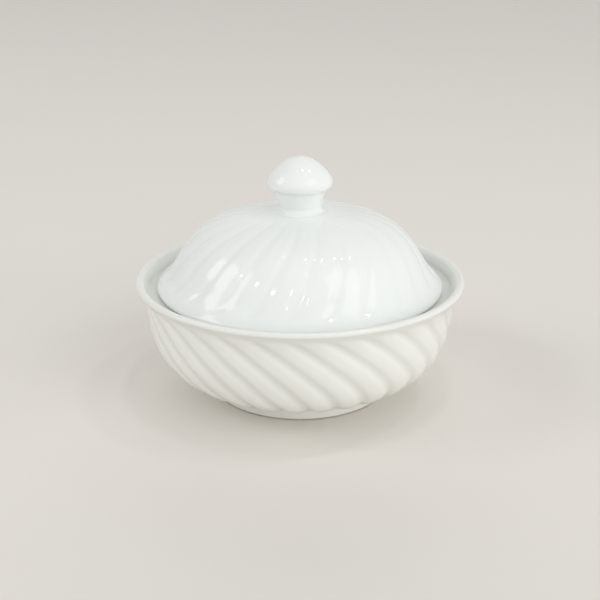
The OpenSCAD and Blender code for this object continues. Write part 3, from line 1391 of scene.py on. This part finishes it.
@dataclass
class Studio:
    """Pale floor, soft light and the camera.

    Attributes:
        target: Place that the camera and the lamps are aimed at, in metres.
        floor_size: Width of the floor, in metres.
        floor_colour: Lighter colour of the floor.
        floor_shade: Lightness of its darker patches, as a share of that.
        floor_patch: Size of those patches.
        floor_rough: Roughness of the floor.
        sky_colour: Colour of the light from all round.
        sky_strength: Strength of that light.
        backdrop_colour: Colour behind the floor, as the camera and the glaze see it.
        suns: Broad lights.
        lamps: Lamps that are seen in the glaze.
        camera_distance: Metres from the target to the camera.
        camera_elevation: Degrees that the camera stands above the target.
        camera_lens: Focal length.
        camera_sensor: Width of the sensor.
        camera_near: Nearest distance that the camera sees, in metres.
    """

    target: Vector = field(default_factory=lambda: Vector((0, 0, 0.0443)))
    floor_size: float = 12.0
    floor_colour: Colour = linear(235, 230, 224)
    floor_shade: float = 0.985
    floor_patch: float = 90.0
    floor_rough: float = 0.8
    sky_colour: Colour = (1.0, 1.0, 1.0)
    sky_strength: float = 0.43
    backdrop_colour: Colour = linear(214, 210, 204)
    suns: tuple[Sun, ...] = (
        Sun("right_low", azimuth=33, elevation=8, strength=1.2),
        Sun("right_side", azimuth=75, elevation=14, strength=0.62),
        Sun("left_side", azimuth=-75, elevation=16, strength=0.6),
        Sun("back_low", azimuth=180, elevation=8, strength=1.4),
    )
    lamps: tuple[Lamp, ...] = (
        Lamp("window_right", 52, 44, 3.0, (1.4, 1.3), 1.2),
        Lamp("window_left", -85, 36, 3.0, (1.2, 1.2), 2.0),
        Lamp("ceiling_lamp_near", 54, 82, 1.2, (0.07, 0.07), 50.0, LampShape.ROUND),
        Lamp("ceiling_lamp_right", 92, 66, 1.2, (0.07, 0.07), 50.0, LampShape.ROUND),
        Lamp("ceiling_lamp_left", -46, 43, 1.2, (0.035, 0.035), 50.0, LampShape.ROUND),
        Lamp("lamp_front", -6, 42, 1.2, (0.04, 0.07), 14.0),
    )
    camera_distance: float = 0.5
    camera_elevation: float = 20.4
    camera_lens: float = 60.37
    camera_sensor: float = 36.0
    camera_near: float = 0.01

    def floor(self) -> None:
        """Lay the floor under the foot ring."""
        half = self.floor_size / 2
        square = [(-half, -half, 0), (half, -half, 0), (half, half, 0), (-half, half, 0)]
        mesh = bpy.data.meshes.new("floor")
        mesh.from_pydata(square, [], [(0, 1, 2, 3)])
        mesh.materials.append(self.floor_finish())
        linked(bpy.data.objects.new("floor", mesh))

    def floor_finish(self) -> bpy.types.Material:
        """Matt, faintly patchy finish of the floor.

        Returns:
            The material.
        """
        made, bench = blank_material("pale_floor")
        darker = tuple(self.floor_shade * value for value in self.floor_colour)
        patches = bench.noise(bench.place(), self.floor_patch, detail=2.0)
        bench.surface({
            "Base Color": bench.mix(patches, self.floor_colour, darker),
            "Roughness": self.floor_rough, "Specular IOR Level": 0.0,
        })
        return made

    def sky(self) -> None:
        """Light the scene from all round, before a pale backdrop."""
        world = bpy.data.worlds.new("soft_sky")
        world.use_nodes = True
        bench = NodeBench(world.node_tree)
        lit_values = {"Color": opaque(self.sky_colour), "Strength": self.sky_strength}
        lit = bench.add("ShaderNodeBackground", lit_values)
        backdrop = bench.add("ShaderNodeBackground", {"Color": opaque(self.backdrop_colour), "Strength": 1.0})
        rays = bench.add("ShaderNodeLightPath").outputs
        mirrored = bench.math("MAXIMUM", rays["Is Glossy Ray"], rays["Is Transmission Ray"])
        seen = bench.math("MAXIMUM", rays["Is Camera Ray"], mirrored)
        shown = bench.add("ShaderNodeMixShader", {"Fac": seen})
        # Its two shader inputs share a name
        bench.feed(shown.inputs[1], lit.outputs["Background"])
        bench.feed(shown.inputs[2], backdrop.outputs["Background"])
        bench.add("ShaderNodeOutputWorld", {"Surface": shown.outputs["Shader"]})
        bpy.context.scene.world = world

    def light(self) -> None:
        """Sky, suns and lamps."""
        self.sky()
        for sun in self.suns:
            sun.build()
        for lamp in self.lamps:
            lamp.build(self.target)

    def camera(self) -> None:
        """Set up the camera in front of the bowl."""
        data = bpy.data.cameras.new("camera")
        data.lens = self.camera_lens
        data.sensor_width = self.camera_sensor
        data.clip_start = self.camera_near
        camera = linked(bpy.data.objects.new("camera", data))
        aim(camera, self.target + self.camera_distance * towards(0, self.camera_elevation), self.target)
        bpy.context.scene.camera = camera

    def build(self) -> None:
        """Floor, light and camera."""
        self.floor()
        self.light()
        self.camera()
        bpy.context.scene.view_settings.view_transform = "Standard"


def corners(box: tuple[Vector, Vector]) -> list[list[float]]:
    """Box as plain lists of numbers."""
    return [list(corner) for corner in box]


def main() -> None:
    """Build the pieces over the frame, dress them and set up the studio."""
    logging.basicConfig(level=logging.INFO, format="%(name)s: %(message)s")
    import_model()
    clay = BareClayAndContactShade().material()
    bowl, lid, knob = Bowl(), Lid(), Knob()
    bowl_piece, lid_piece, knob_piece = bowl.build(), lid.build(), knob.build()
    bowl.dress(bowl_piece, clay)
    glaze = lid.dress(lid_piece, clay)
    knob.dress(knob_piece, glaze)
    for piece in (bowl_piece, lid_piece, knob_piece):
        LOG.info("%s: %d faces", piece.name, len(piece.data.polygons))
    Studio().build()


if __name__ == "__main__":
    main()
